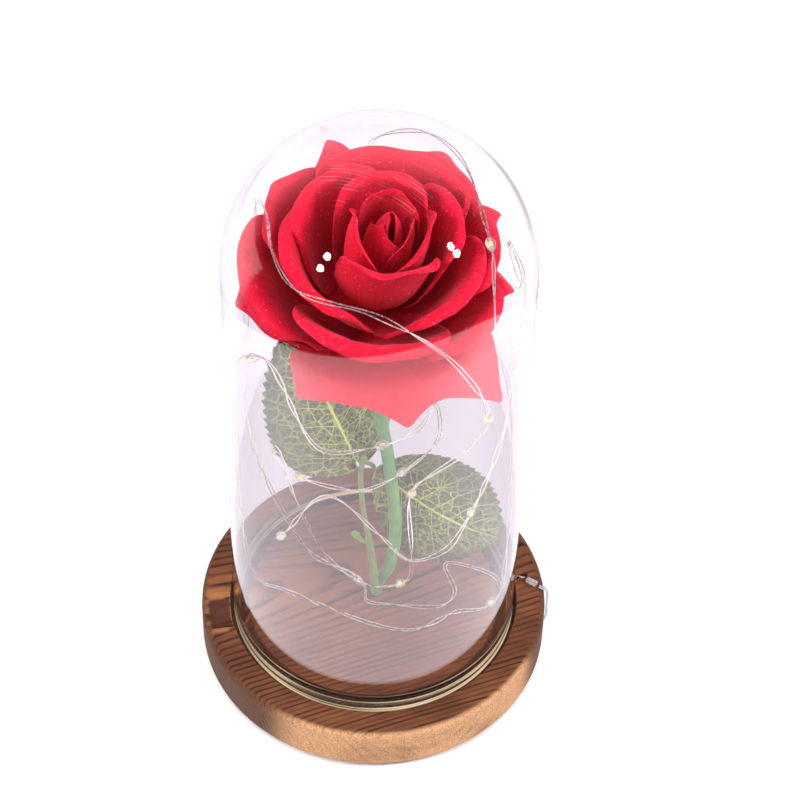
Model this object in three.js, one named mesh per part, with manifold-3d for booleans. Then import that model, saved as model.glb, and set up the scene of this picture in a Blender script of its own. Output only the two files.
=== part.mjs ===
// A fabric rose with two leaves under a glass dome on a round wooden base, wound with a wire light string.
// Millimetres, +Z up, origin at the centre of the base's underside, front of the display towards -Y.
import * as THREE from "three";
import { mergeVertices } from "three/addons/utils/BufferGeometryUtils.js";
import Module from "manifold-3d";

// Driving dimensions
const baseRadius = 57.5;
const baseHeight = 18.5;
const baseTopRound = 2.5;
const baseFootRound = 4;
const grooveInner = 41.5;
const grooveOuter = 48;
const grooveDepth = 4;
const domeRadius = 46.75;
const domeWall = 2;
const domeTop = 220;
const gap = 0.3;
const baseSides = 40;
const domeSides = 32;

const flowerCentre = [-2.2, 3.4, 158.4];
const flowerTilt = 12; // degrees towards the front
const flowerLean = 5; // degrees towards the right
const petalThickness = 0.4;

const stemRadius = 2.1;
const branchRadius = 0.9;
const branchFootRadius = 1.3;
const leafThickness = 0.5;

const wireRadius = 0.5;
const wireSides = 8;
const beadRadius = 1.7;
const beadLength = 5;
const leadRadius = 0.7;

const batteryBox = { length: 42, width: 25, height: 7.5 };
const batteryCoverLength = 32;
const switchKnob = { length: 4, width: 6 };
const recessDepth = 9.4;

const wasm = await Module();
wasm.setup();

const wood = new THREE.MeshStandardMaterial({ color: 0x8a5230, roughness: 0.7 });
const glass = new THREE.MeshStandardMaterial({ color: 0xf2f2fa, roughness: 0.05, transparent: true, opacity: 0.3 });
const petalCloth = new THREE.MeshStandardMaterial({ color: 0xc2102a, roughness: 0.85, side: THREE.DoubleSide });
const leafCloth = new THREE.MeshStandardMaterial({ color: 0x3d5a34, roughness: 0.6 });
const stemPlastic = new THREE.MeshStandardMaterial({ color: 0x4f8a45, roughness: 0.5 });
const wireMetal = new THREE.MeshStandardMaterial({ color: 0xd8d2cc, roughness: 0.3, metalness: 1 });
const beadResin = new THREE.MeshStandardMaterial({ color: 0xf4ecd0, roughness: 0.1 });
const clearSleeve = new THREE.MeshStandardMaterial({ color: 0xe8e6ea, roughness: 0.3 });
const boxPlastic = new THREE.MeshStandardMaterial({ color: 0xe6e6e2, roughness: 0.5 });
const knobPlastic = new THREE.MeshStandardMaterial({ color: 0x202022, roughness: 0.5 });

const rose = new THREE.Group();

function addPiece(name, geometry, material) {
  const mesh = new THREE.Mesh(geometry, material);
  mesh.name = name;
  rose.add(mesh);
  return mesh;
}

// A closed geometry as a solid that can be joined and cut.
function solidFrom(geometry) {
  const bare = geometry.clone();
  bare.deleteAttribute("normal");
  bare.deleteAttribute("uv");
  const merged = mergeVertices(bare, 1e-4);
  const mesh = new wasm.Mesh({
    numProp: 3,
    vertProperties: merged.attributes.position.array,
    triVerts: new Uint32Array(merged.index.array),
  });
  return new wasm.Manifold(mesh);
}

function geometryFrom(solid) {
  const mesh = solid.getMesh();
  const geometry = new THREE.BufferGeometry();
  geometry.setAttribute("position", new THREE.BufferAttribute(mesh.vertProperties, 3));
  geometry.setIndex(new THREE.BufferAttribute(mesh.triVerts, 1));
  geometry.computeVertexNormals();
  return geometry;
}

// A turned shape about +Z from [radius, height] points, listed up the outside.
function turned(points, sides) {
  const profile = points.map(([r, z]) => new THREE.Vector2(r, z));
  return new THREE.LatheGeometry(profile, sides).rotateX(Math.PI / 2);
}

// A round tube along a smooth curve through the given points.
function tubeAlong(points, radius, steps, sides) {
  const route = new THREE.CatmullRomCurve3(points.map((p) => new THREE.Vector3(...p)), false, "centripetal");
  return tubeOn(route, radius, steps, sides);
}

function tubeOn(route, radius, steps, sides) {
  const section = new THREE.Shape();
  for (let i = 0; i < sides; i++) {
    const turn = (2 * Math.PI * i) / sides;
    const x = radius * Math.cos(turn);
    const y = radius * Math.sin(turn);
    if (i === 0) section.moveTo(x, y);
    else section.lineTo(x, y);
  }
  section.closePath();
  return new THREE.ExtrudeGeometry(section, { steps, extrudePath: route, curveSegments: 1 });
}

function block(x, y, z, [cx, cy, cz]) {
  return new THREE.BoxGeometry(x, y, z).translate(cx, cy, cz);
}

// Quarter-round corner points about a centre, from one angle to another in degrees.
function corner(r, z, radius, from, to, steps) {
  const points = [];
  for (let i = 0; i <= steps; i++) {
    const turn = THREE.MathUtils.degToRad(from + ((to - from) * i) / steps);
    points.push([r + radius * Math.cos(turn), z + radius * Math.sin(turn)]);
  }
  return points;
}

// Wooden base: a turned disc with a ring groove, a finger notch at the left, and a recess below for the battery box.
const notchAngle = 190;
const notchRadius = 8;
const notchDepth = 3.4;
const slotAngle = 9.4;
const slotWidth = 1.8;
const leadY = 2.7;
const channelWidth = 2.6;
const channelDepth = 3;

function makeBase() {
  const grooveFloor = baseHeight - grooveDepth;
  const profile = [
    [0, 0],
    ...corner(baseRadius - baseFootRound, baseFootRound, baseFootRound, -90, 0, 3),
    ...corner(baseRadius - baseTopRound, baseHeight - baseTopRound, baseTopRound, 0, 90, 3),
    [grooveOuter, baseHeight],
    [grooveOuter, grooveFloor],
    [grooveInner, grooveFloor],
    [grooveInner, baseHeight],
    [0, baseHeight],
  ];
  let base = solidFrom(turned(profile, baseSides));
  const notch = new THREE.CylinderGeometry(notchRadius, notchRadius, 20, 20)
    .rotateZ(Math.PI / 2)
    .translate(grooveOuter + 8, 0, baseHeight + notchRadius - notchDepth)
    .rotateZ(THREE.MathUtils.degToRad(notchAngle));
  base = base.subtract(solidFrom(notch));
  const wireSlot = block(13, slotWidth, 2 * slotWidth, [0, 0, 0])
    .rotateY(THREE.MathUtils.degToRad(-38))
    .translate(grooveOuter - 1.4, 0, baseHeight - 3)
    .rotateZ(THREE.MathUtils.degToRad(slotAngle));
  base = base.subtract(solidFrom(wireSlot));
  const recess = block(batteryBox.length + 2 * gap, batteryBox.width + 2 * gap, 2 * recessDepth, [0, 0, 0]);
  base = base.subtract(solidFrom(recess));
  const channelLength = baseRadius;
  const channel = block(channelLength, channelWidth, 2 * channelDepth, [baseRadius / 2 + 5, leadY, 0]);
  base = base.subtract(solidFrom(channel));
  addPiece("wooden_base", geometryFrom(base), wood);
}

// Glass dome: a straight wall under a half-sphere, with a rounded rim that stands in the groove.
function makeDome() {
  const inner = domeRadius - domeWall;
  const rim = baseHeight - grooveDepth + gap;
  const shoulder = domeTop - domeRadius;
  const rounds = 8;
  const outside = corner(0, shoulder, domeRadius, 0, 90, rounds);
  const inside = corner(0, shoulder, inner, 90, 0, rounds);
  const middle = (domeRadius + inner) / 2;
  const bead = corner(middle, rim + domeWall / 2, domeWall / 2, -180, 0, 4);
  outside[rounds][0] = 0;
  inside[0][0] = 0;
  addPiece("glass_dome", turned([...inside, ...bead, ...outside], domeSides), glass);
}

// Flower head: every petal is cut from a family of nested cup profiles. Rank 0 is the tight bud, rank 1 the
// lowest open petal. Each profile is a cubic curve of [radius, height] control points.
const cupProfiles = [
  { rank: 0.0, points: [[1.0, 7.6], [5, 16], [6, 30], [1.0, 42]] },
  { rank: 0.2, points: [[2.6, 5.6], [12, 10], [13, 32], [9.5, 41.5]] },
  { rank: 0.4, points: [[4.2, 3.6], [19, 6], [17, 33], [19.5, 39]] },
  { rank: 0.6, points: [[5.8, 1.6], [26, 2], [23, 34], [31.5, 34]] },
  { rank: 0.8, points: [[7.4, -0.4], [33, -2], [30, 30], [42.5, 22]] },
  { rank: 1.0, points: [[9.0, -2.4], [30, -4], [33, 12], [44, -6]] },
];

// One row for each petal, from the bud outwards: azimuth and half width in degrees, length, how far the rim
// falls towards the sides, how sharply, and how the rank changes across and along the petal.
const petals = [
  { azimuth: 70, rank: 0.0, half: 120, fall: 0.1, power: 1.1, length: 0.99, skew: 0.01 },
  { azimuth: 185, rank: 0.055, half: 105, fall: 0.1, power: 1.2, skew: 0.01 },
  { azimuth: 320, rank: 0.11, half: 98, fall: 0.1, power: 1.3, skew: 0.015 },
  { azimuth: 80, rank: 0.165, half: 92, fall: 0.1, skew: 0.015 },
  { azimuth: 205, rank: 0.22, half: 84, fall: 0.1, power: 1.4, length: 1.01 },
  { azimuth: 340, rank: 0.28, half: 80, fall: 0.1, power: 1.4, length: 1.01 },
  { azimuth: 95, rank: 0.335, half: 80, fall: 0.12 },
  { azimuth: 275, rank: 0.385, half: 68, fall: 0.14, length: 1.02, curl: 0.02 },
  { azimuth: 15, rank: 0.435, half: 62, fall: 0.25, power: 3, curl: 0.02 },
  { azimuth: 140, rank: 0.478, half: 62, fall: 0.25, power: 3, curl: 0.02 },
  { azimuth: 203, rank: 0.545, half: 68, fall: 0.3, power: 2, curl: 0.03 },
  { azimuth: 330, rank: 0.58, half: 58, fall: 0.34, length: 0.97, skew: -0.02, curl: 0.03 },
  { azimuth: 80, rank: 0.63, half: 66, fall: 0.25, power: 3.5, length: 1.03 },
  { azimuth: 8, rank: 0.67, half: 50, fall: 0.4, power: 3, length: 0.97 },
  { azimuth: 265, rank: 0.7, half: 56, fall: 0.24, length: 0.99, curl: 0.03 },
  { azimuth: 150, rank: 0.7, half: 42, fall: 0.45, power: 3, length: 0.94, tips: [[0, 0.08, 0.4]] },
  { azimuth: 195, rank: 0.8, half: 46, fall: 0.35, power: 3, curl: 0.02 },
  { azimuth: 63, rank: 0.752, half: 44, fall: 0.4, power: 3, tips: [[0, 0.08, 0.4]] },
  { azimuth: 322, rank: 0.775, half: 42, fall: 0.4, power: 3, length: 0.93, curl: 0.02 },
  { azimuth: 112, rank: 0.842, half: 26, fall: 0.7, length: 0.9, tips: [[0, 0.1, 0.4]] },
  { azimuth: 32, rank: 0.845, half: 30, fall: 0.6, length: 0.86, tips: [[0, 0.16, 0.4]] },
  { azimuth: 190, rank: 0.9, half: 42, fall: 0.5, power: 2.5, length: 0.88, tips: [[0, 0.1, 0.4]] },
  { azimuth: 0, rank: 0.91, half: 36, fall: 0.5, length: 0.78, tips: [[0, 0.14, 0.4]] },
  {
    azimuth: 280, rank: 1.0, half: 62, fall: 0.12, power: 3, length: 0.74, skew: 0, taper: 0,
    tips: [[0, 0.18, 0.42], [-0.75, 0.12, 0.4], [0.75, 0.18, 0.4]],
  },
];
// Sheet divisions for the wide cupped petals, the open ones and the three-tipped hanging one.
const wideHalf = 75;
const petalCuts = { cupped: [8, 4], open: [6, 5], tipped: [8, 5] };

function mix(a, b, t) {
  return a + (b - a) * t;
}

function cupPoint(rank, t) {
  const last = cupProfiles.length - 1;
  const place = THREE.MathUtils.clamp(rank, 0, 1) * last;
  const low = Math.min(Math.floor(place), last - 1);
  const share = place - low;
  const [a, b, c, d] = cupProfiles[low].points.map((p, i) =>
    p.map((value, axis) => mix(value, cupProfiles[low + 1].points[i][axis], share)),
  );
  const s = 1 - t;
  return [0, 1].map((i) => s * s * s * a[i] + 3 * s * s * t * b[i] + 3 * s * t * t * c[i] + t * t * t * d[i]);
}

// The middle surface of a petal: across runs from -1 to 1 and along from 0 at the base to 1 at the rim.
function petalPoint(petal, across, along) {
  const { azimuth, rank, half, fall } = petal;
  const { power = 2.2, length = 1, skew = 0.02, curl = 0, taper = 0.12, tips = [] } = petal;
  const side = Math.abs(across);
  let reach = length * (1 - fall * side ** power);
  for (const [place, rise, width] of tips) {
    reach += rise * Math.max(0, 1 - Math.abs(across - place) / width) ** 1.5;
  }
  const t = along * reach;
  const ownRank = rank + skew * across * (0.3 + 0.7 * along) + curl * along ** 3;
  const [r, z] = cupPoint(ownRank, Math.min(t, 1.2));
  const opening = 0.42 + 0.58 * THREE.MathUtils.smoothstep(along, 0, 0.5);
  const narrowing = 1 - taper * THREE.MathUtils.smoothstep(along, 0.65, 1);
  const turn = THREE.MathUtils.degToRad(azimuth + half * across * opening * narrowing);
  return new THREE.Vector3(r * Math.cos(turn), r * Math.sin(turn), z);
}

const flowerPose = new THREE.Matrix4()
  .makeTranslation(...flowerCentre)
  .multiply(new THREE.Matrix4().makeRotationX(THREE.MathUtils.degToRad(flowerTilt)))
  .multiply(new THREE.Matrix4().makeRotationY(THREE.MathUtils.degToRad(flowerLean)));

// A closed sheet of even thickness about a surface given as a function of across and along, each 0 to 1.
function sheet(surface, columns, rows, thickness) {
  const step = 1e-3;
  const positions = [];
  for (const side of [0.5, -0.5]) {
    for (let j = 0; j <= rows; j++) {
      for (let i = 0; i <= columns; i++) {
        const u = i / columns;
        const v = j / rows;
        const point = surface(u, v);
        const du = surface(Math.min(1, u + step), v).sub(surface(Math.max(0, u - step), v));
        const dv = surface(u, Math.min(1, v + step)).sub(surface(u, Math.max(0, v - step)));
        const normal = du.cross(dv).normalize();
        positions.push(...point.addScaledVector(normal, side * thickness));
      }
    }
  }
  const wide = columns + 1;
  const layer = wide * (rows + 1);
  const faces = [];
  const quad = (a, b, c, d) => faces.push(a, b, c, a, c, d);
  for (let j = 0; j < rows; j++) {
    for (let i = 0; i < columns; i++) {
      const a = j * wide + i;
      quad(a, a + 1, a + 1 + wide, a + wide);
      quad(layer + a, layer + a + wide, layer + a + 1 + wide, layer + a + 1);
    }
  }
  for (let i = 0; i < columns; i++) {
    const top = rows * wide + i;
    quad(i, layer + i, layer + i + 1, i + 1);
    quad(top, top + 1, layer + top + 1, layer + top);
  }
  for (let j = 0; j < rows; j++) {
    const left = j * wide;
    const right = left + columns;
    quad(left, left + wide, layer + left + wide, layer + left);
    quad(right, layer + right, layer + right + wide, right + wide);
  }
  const geometry = new THREE.BufferGeometry();
  geometry.setAttribute("position", new THREE.Float32BufferAttribute(positions, 3));
  geometry.setIndex(faces);
  geometry.computeVertexNormals();
  return geometry;
}

function makePetals() {
  petals.forEach((petal, i) => {
    const surface = (u, v) => petalPoint(petal, 2 * u - 1, v).applyMatrix4(flowerPose);
    const name = "petal_" + String(i + 1).padStart(2, "0");
    const shape = (petal.tips ?? []).length > 1 ? "tipped" : petal.half > wideHalf ? "cupped" : "open";
    addPiece(name, sheet(surface, ...petalCuts[shape], petalThickness), petalCloth);
  });
}

// The cone that the petals stand on, and the green cup with five sepals below it.
function makeFlowerHeart() {
  const heart = turned([[0, -5.4], [6, -5.4], [10.2, -4.5], [2.2, 5.5], [0, 7.2]], 16);
  addPiece("flower_heart", heart.applyMatrix4(flowerPose), petalCloth);
}

const sepals = 5;
function makeCalyx() {
  let calyx = solidFrom(turned([[2.6, -14], [4.8, -12.5], [6.6, -9.5], [6.6, -5.7], [2.6, -5.7], [2.6, -14]], 10));
  for (let i = 0; i < sepals; i++) {
    const turn = (2 * Math.PI * (i + 0.3)) / sepals;
    const surface = (u, v) => {
      const across = (2 * u - 1) * 3.6 * (1 - v) ** 0.7;
      const reach = mix(4.5, 17, v);
      const height = -8 - 6 * v * v;
      return new THREE.Vector3(reach, across, height).applyAxisAngle(new THREE.Vector3(0, 0, 1), turn);
    };
    calyx = calyx.add(solidFrom(sheet(surface, 2, 2, 0.6)));
  }
  addPiece("calyx", geometryFrom(calyx).applyMatrix4(flowerPose), stemPlastic);
}

// Main stem from the base up into the calyx.
const stemRoute = [
  [0.9, 1, baseHeight + 1.4 * gap],
  [1.1, 1, 23],
  [4.6, 1, 31.7],
  [6.4, 1, 43.5],
  [6.7, 1, 56.5],
  [5.1, 1, 75.7],
  [3.4, 1.2, 91.2],
  [1.3, 1.8, 106.7],
  [0.6, 3.2, 122],
  [-2.6, 6.4, 134],
  [-3.6, 6.9, 142.2],
  [-2.9, 5.1, 150.6],
];
function makeStem() {
  addPiece("rose_stem", tubeAlong(stemRoute, stemRadius, 13, 8), stemPlastic);
}

// Leaf branch: a stalk that rises beside the stem to the left leaf, thicker at its foot, with a fork behind the
// stem to the right leaf and a bud.
const branchFoot = [[0.5, -2.6, 24.5], [0, -2.5, 33.4], [-1.4, -2.9, 47]];
const branchRoute = [[-0.6, -2.6, 39], [-1.7, -3, 50.9], [-4, -3, 68.8], [-4.7, -3, 86.1], [-3.8, -2.5, 92.9]];
const rightFork = [[-3.9, -2.5, 91.4], [-3.2, -1, 88.3], [-2.2, 1.2, 85.2], [-0.9, 5, 79.5], [-0.6, 8.6, 73.2], [-0.6, 10, 71.2]];
const budFork = [[-1.7, -3, 49.5], [-4, -3.2, 51.6], [-7, -3.4, 56]];
function makeBranch() {
  let branch = solidFrom(tubeAlong(branchFoot, branchFootRadius, 2, 6));
  branch = branch.add(solidFrom(tubeAlong(branchRoute, branchRadius, 6, 6)));
  branch = branch.add(solidFrom(tubeAlong(rightFork, branchRadius * 0.8, 5, 6)));
  branch = branch.add(solidFrom(tubeAlong(budFork, branchRadius, 2, 6)));
  addPiece("leaf_branch", geometryFrom(branch), stemPlastic);
}

// Leaves: each is an oval sheet from its stalk to its tip, folded a little along the midrib and arched, with the
// lobes beside its stalk drawn back.
const leaves = [
  {
    name: "leaf_left", base: [-6.3, -0.6, 88.6], tip: [-27.9, 17, 127.9], side: [0.81, 0.56, 0.19],
    halfWidth: 21, narrowSide: 0.98, peak: 0.764, round: 0.58, lobe: 0.052, arch: 3, fold: 0.16,
  },
  {
    name: "leaf_right", base: [3, 10.9, 67.4], tip: [40.6, 4.3, 44.4], side: [-0.425, -0.115, -0.898],
    halfWidth: 20.9, narrowSide: 1.1, peak: 1, round: 0.614, lobe: 0.08, arch: 4, fold: 0.14,
  },
];
const leafAcross = 4;
const leafAlong = 8;

function leafPoint(leaf, across, along) {
  const base = new THREE.Vector3(...leaf.base);
  const run = new THREE.Vector3(...leaf.tip).sub(base);
  const side = new THREE.Vector3(...leaf.side).normalize();
  const face = side.clone().cross(run).normalize();
  const bulge = Math.max(0, Math.sin(Math.PI * along ** leaf.peak));
  const oval = 0.03 + 0.97 * bulge ** leaf.round;
  const width = leaf.halfWidth * oval * (across > 0 ? leaf.narrowSide : 1);
  const lift = leaf.arch * 4 * along * (1 - along) - leaf.fold * Math.abs(across) * width;
  const back = leaf.lobe * across ** 2 * (1 - along) ** 2;
  base.addScaledVector(run, along - back);
  return base.addScaledVector(side, across * width).addScaledVector(face, lift);
}

function makeLeaves() {
  for (const leaf of leaves) {
    const surface = (u, v) => leafPoint(leaf, 2 * u - 1, v);
    addPiece(leaf.name, sheet(surface, leafAcross, leafAlong, leafThickness), leafCloth);
  }
}

// Battery box in the recess, with a cover and a slide switch that face down.
const boxFoot = 1.7;
const coverFoot = 0.4;
function makeBatteryBox() {
  const { length, width, height } = batteryBox;
  addPiece("battery_box", block(length, width, height, [0, 0, boxFoot + height / 2]), boxPlastic);
  const coverX = (batteryCoverLength - length) / 2;
  const cover = block(batteryCoverLength - gap, width, boxFoot - gap - coverFoot, [
    coverX, 0, (boxFoot - gap + coverFoot) / 2,
  ]);
  addPiece("battery_cover", cover, boxPlastic);
  const knobX = length / 2 - (length - batteryCoverLength) / 2;
  const knob = block(switchKnob.length, switchKnob.width, boxFoot - gap - coverFoot, [
    knobX, -4, (boxFoot - gap + coverFoot) / 2,
  ]);
  addPiece("switch_knob", knob, knobPlastic);
}

// Two-core lead from the battery box through the channel and up the side of the base to the splice on the rim.
const leadRoute = [
  [batteryBox.length / 2 + 2 * gap, leadY, 1.5],
  [40, leadY, 1.5],
  [54, leadY, 1.5],
  [57.6, leadY, 1.9],
  [58.7, leadY, 4.8],
  [58.6, leadY, 10],
  [58.6, leadY, 15.4],
  [57.7, 2.9, 18.7],
  [55.6, 3.3, 19.7],
];
function makeLead() {
  addPiece("battery_lead", tubeAlong(leadRoute, leadRadius, 14, wireSides), clearSleeve);
}

const spliceRoute = [[54.7, 3.9, 20], [51.5, 6, 19.9]];
const spliceRadius = 1.1;
function makeSplice() {
  addPiece("splice_sleeve", tubeAlong(spliceRoute, spliceRadius, 1, 8), clearSleeve);
}

// Light string: silver wire with small LED beads, from the splice under the rim of the glass and round inside the
// dome. The route is a list chosen by hand, and the last point of each stretch is the middle of a bead.
const stringStretches = [
  [
    [50.3, 6.6, 19.9], [49.1, 8, 19], [47.5, 7.8, 15.3], [45.7, 7.5, 13.9], [43.5, 7.2, 14],
    [41.9, 7, 19], [39.4, 8.8, 19.7], [24.3, 13, 19.5], [27.3, 0.5, 19.5], [23, -4.8, 19.5],
    [6, -4.8, 19.6], [-2.4, -3.4, 19.8], [-5, 4, 21],
  ],
  [
    [-19.7, 12.5, 22.3], [-28.8, 11, 43.2], [-40.9, 4, 101.1], [-40.6, 6, 144], [-37.5, 19, 168],
    [-36.5, 15, 186], [-32.4, 0, 195.1], [-30.4, -10, 189.9], [-22.7, -25, 189.6], [-1.3, -31.3, 187.1],
    [16.1, -34.3, 177.2], [25.4, -32, 163.1], [32.4, -27, 140.4],
  ],
  [
    [27.4, -22, 119.4], [11.4, -15, 90.2],
  ],
  [
    [11.7, -17.2, 63.9], [8.6, -6.5, 33.4],
  ],
  [
    [-1.6, -5.5, 30.7], [-13.2, -1.5, 36.5], [-25.7, -8, 79.7], [-29.4, -10, 101.4], [-31.7, -12, 108],
    [-31.3, -15, 108.2], [-23.2, -14, 96],
  ],
  [
    [-4.8, -15, 91.2], [8.1, -16.5, 102],
  ],
  [
    [18.9, -11, 111.5], [18.2, 1, 114.1], [13.5, 0, 103.8], [1.8, -7.5, 104.1],
  ],
  [
    [-16.8, -8, 101.8], [-37.6, -4.5, 139.6],
  ],
  [
    [-43.2, -4, 118], [-38.5, 1, 24], [-31, 1, 19.5], [11.3, -15.3, 19.5], [28, -7.3, 19.6],
    [39.2, -4.8, 21.6],
  ],
  [
    [43.1, -1.5, 33], [42.8, -1.5, 90.6], [39, -13, 138.5], [33.9, -23.5, 167.3], [32.1, -22.8, 189.2],
    [31.5, -5, 189.5],
  ],
  [
    [23.3, 20, 198.9], [12.3, 32, 198.9], [-3, 40.5, 187], [-1, 43.2, 170], [13, 41, 150],
    [36, 24, 148], [42.3, 7, 160], [36.7, -3.5, 189.2], [40.7, -8, 182.4], [42.9, -8, 162.4],
    [40.6, -6, 133.1], [38.7, -10, 113.7], [30.3, -12, 77.7],
  ],
  [
    [22.5, -15, 62], [11.1, -18, 60.3], [3, -12, 63.3], [-14.3, -8, 79.5], [-30.6, 0, 49.2],
  ],
];
const beadHold = 3.4; // straight wire on each side of a bead's middle
const beadBore = 1;
const beadSides = 6;

// A curve whose equal steps fall on its own points.
class PointRoute extends THREE.CatmullRomCurve3 {
  getPointAt(t, target) {
    return this.getPoint(t, target);
  }

  getTangentAt(t, target) {
    return this.getTangent(t, target);
  }
}

// Every point of the string in order, with two points in place of each bead's middle.
function stringRoute() {
  const chosen = stringStretches.flat().map((p) => new THREE.Vector3(...p));
  const points = [];
  const beads = [];
  let done = 0;
  for (const stretch of stringStretches) {
    for (let i = 0; i < stretch.length - 1; i++) points.push(chosen[done + i]);
    const last = done + stretch.length - 1;
    const middle = chosen[last];
    const along = middle.clone().sub(chosen[last - 1]).normalize();
    if (last + 1 < chosen.length) along.add(chosen[last + 1].clone().sub(middle).normalize());
    along.normalize();
    beads.push({ middle, along });
    points.push(middle.clone().addScaledVector(along, -beadHold));
    points.push(middle.clone().addScaledVector(along, beadHold));
    done += stretch.length;
  }
  return { points, beads };
}

function makeString() {
  const { points, beads } = stringRoute();
  const route = new PointRoute(points, false, "centripetal");
  addPiece("light_string", tubeOn(route, wireRadius, points.length - 1, wireSides), wireMetal);
  const half = beadLength / 2;
  const profile = [
    [beadBore, -half], [beadRadius, -half / 2], [beadRadius, half / 2], [beadBore, half], [beadBore, -half],
  ];
  beads.forEach(({ middle, along }, i) => {
    const mesh = addPiece("light_bead_" + String(i + 1).padStart(2, "0"), turned(profile, beadSides), beadResin);
    mesh.position.copy(middle);
    mesh.quaternion.setFromUnitVectors(new THREE.Vector3(0, 0, 1), along);
  });
}

makeBase();
makeDome();
makeFlowerHeart();
makeCalyx();
makePetals();
makeStem();
makeBranch();
makeLeaves();
makeBatteryBox();
makeLead();
makeSplice();
makeString();

export default rose;
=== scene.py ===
import math

import bpy
import numpy as np
from mathutils import Matrix, Vector, noise


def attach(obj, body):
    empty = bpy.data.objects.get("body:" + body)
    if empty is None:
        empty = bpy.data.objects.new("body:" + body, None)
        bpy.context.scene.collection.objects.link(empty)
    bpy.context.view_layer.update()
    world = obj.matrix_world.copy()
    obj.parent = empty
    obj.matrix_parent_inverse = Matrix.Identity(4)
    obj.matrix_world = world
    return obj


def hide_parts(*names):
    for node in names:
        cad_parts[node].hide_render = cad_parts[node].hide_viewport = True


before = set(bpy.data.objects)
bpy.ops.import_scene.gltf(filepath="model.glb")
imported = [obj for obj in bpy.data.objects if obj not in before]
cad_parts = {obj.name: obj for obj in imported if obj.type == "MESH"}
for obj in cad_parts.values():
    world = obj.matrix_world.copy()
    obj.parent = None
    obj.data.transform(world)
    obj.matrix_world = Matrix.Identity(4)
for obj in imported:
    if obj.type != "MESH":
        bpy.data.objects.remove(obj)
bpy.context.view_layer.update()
mm = 0.001
print("frame loaded")


def deselect():
    if bpy.context.mode != "OBJECT":
        bpy.ops.object.mode_set(mode="OBJECT")
    bpy.ops.object.select_all(action="DESELECT")


def pick(piece):  # the only one selected, and active
    deselect()
    piece.select_set(True)
    bpy.context.view_layer.objects.active = piece


def settle(piece):  # place and turn go into the mesh
    pick(piece)
    bpy.ops.object.transform_apply(location=True, rotation=True, scale=True)


def addModifier(piece, kind, **settings):
    modifier = piece.modifiers.new(kind.lower(), kind)
    for key, value in settings.items():
        setattr(modifier, key, value)


def applyAll(piece):
    pick(piece)
    for modifier in list(piece.modifiers):
        bpy.ops.object.modifier_apply(modifier=modifier.name)


def bevelled(piece, width, segments, degrees):  # edges sharper than degrees are rounded
    addModifier(
        piece, "BEVEL", width=width * mm, segments=segments, limit_method="ANGLE",
        angle_limit=math.radians(degrees),
    )
    applyAll(piece)


def newObject(name, data):
    made = bpy.data.objects.new(name, data)
    bpy.context.scene.collection.objects.link(made)
    return made


def joined(pieces, name):
    deselect()
    for piece in pieces:
        piece.select_set(True)
    bpy.context.view_layer.objects.active = pieces[0]
    bpy.ops.object.join()
    pieces[0].name = pieces[0].data.name = name
    return pieces[0]


def openEdit(piece, action="SELECT"):
    pick(piece)
    bpy.ops.object.mode_set(mode="EDIT")
    bpy.ops.mesh.select_all(action=action)


def tidyShell(piece):  # doubles merged, faces turned outwards
    openEdit(piece)
    bpy.ops.mesh.remove_doubles(threshold=0.002 * mm)
    bpy.ops.mesh.normals_make_consistent(inside=False)
    bpy.ops.object.mode_set(mode="OBJECT")


def smoothShade(piece, degrees=35):
    pick(piece)
    bpy.ops.object.shade_smooth_by_angle(angle=math.radians(degrees))


def finished(piece, finish, nodes):  # paint it, put it on the frame
    piece.data.materials.clear()
    piece.data.materials.append(finish.material)
    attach(piece, "root")
    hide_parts(*nodes)
    return piece


def arc(r, z, radius, start, end, steps):  # profile points round a centre, degrees
    turns = [math.radians(start + (end - start) * i / steps) for i in range(steps + 1)]
    return [(r + radius * math.cos(a), z + radius * math.sin(a)) for a in turns]


def spunPiece(name, profile, steps):  # profile of (radius, height) in mm, spun about Z
    mesh = bpy.data.meshes.new(name)
    points = [(r * mm, 0, z * mm) for r, z in profile]
    mesh.from_pydata(points, [(i, i + 1) for i in range(len(points) - 1)], [])
    piece = newObject(name, mesh)
    openEdit(piece)
    bpy.ops.mesh.spin(steps=steps, angle=2 * math.pi, center=(0, 0, 0), axis=(0, 0, 1))
    bpy.ops.object.mode_set(mode="OBJECT")
    tidyShell(piece)
    return piece


def smoothRoute(points, step):  # a centripetal curve through the points, even steps, mm
    p = [np.array(q, float) for q in points]
    p = [2 * p[0] - p[1]] + p + [2 * p[-1] - p[-2]]

    def between(first, second, low, high, t):
        return first * (high - t) / (high - low) + second * (t - low) / (high - low)

    fine = []
    for i in range(1, len(p) - 2):
        a, b, c, d = p[i - 1 : i + 3]
        t1 = np.linalg.norm(b - a) ** 0.5
        t2 = t1 + np.linalg.norm(c - b) ** 0.5
        t3 = t2 + np.linalg.norm(d - c) ** 0.5
        for t in np.linspace(t1, t2, 16, endpoint=False):  # sixteen short steps to each span
            bc = between(b, c, t1, t2, t)
            abc = between(between(a, b, 0, t1, t), bc, 0, t2, t)
            bcd = between(bc, between(c, d, t2, t3, t), t1, t3, t)
            fine.append(between(abc, bcd, t1, t2, t))
    fine = np.array(fine + [p[-2]])
    gone = np.concatenate([[0], np.cumsum(np.linalg.norm(np.diff(fine, axis=0), axis=1))])
    places = np.linspace(0, gone[-1], max(2, round(gone[-1] / step) + 1))
    return np.stack([np.interp(places, gone, fine[:, k]) for k in range(3)], 1)


def carriedFrames(route):  # two directions across the route at each point, without twist
    along = np.gradient(route, axis=0)
    along /= np.linalg.norm(along, axis=1)[:, None]
    across = np.cross(along[0], (0.3, 0.2, 1.0))
    firsts = []
    for direction in along:
        across = across - direction * across.dot(direction)
        across /= np.linalg.norm(across)
        firsts.append(across)
    firsts = np.array(firsts)
    return firsts, np.cross(along, firsts)


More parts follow.
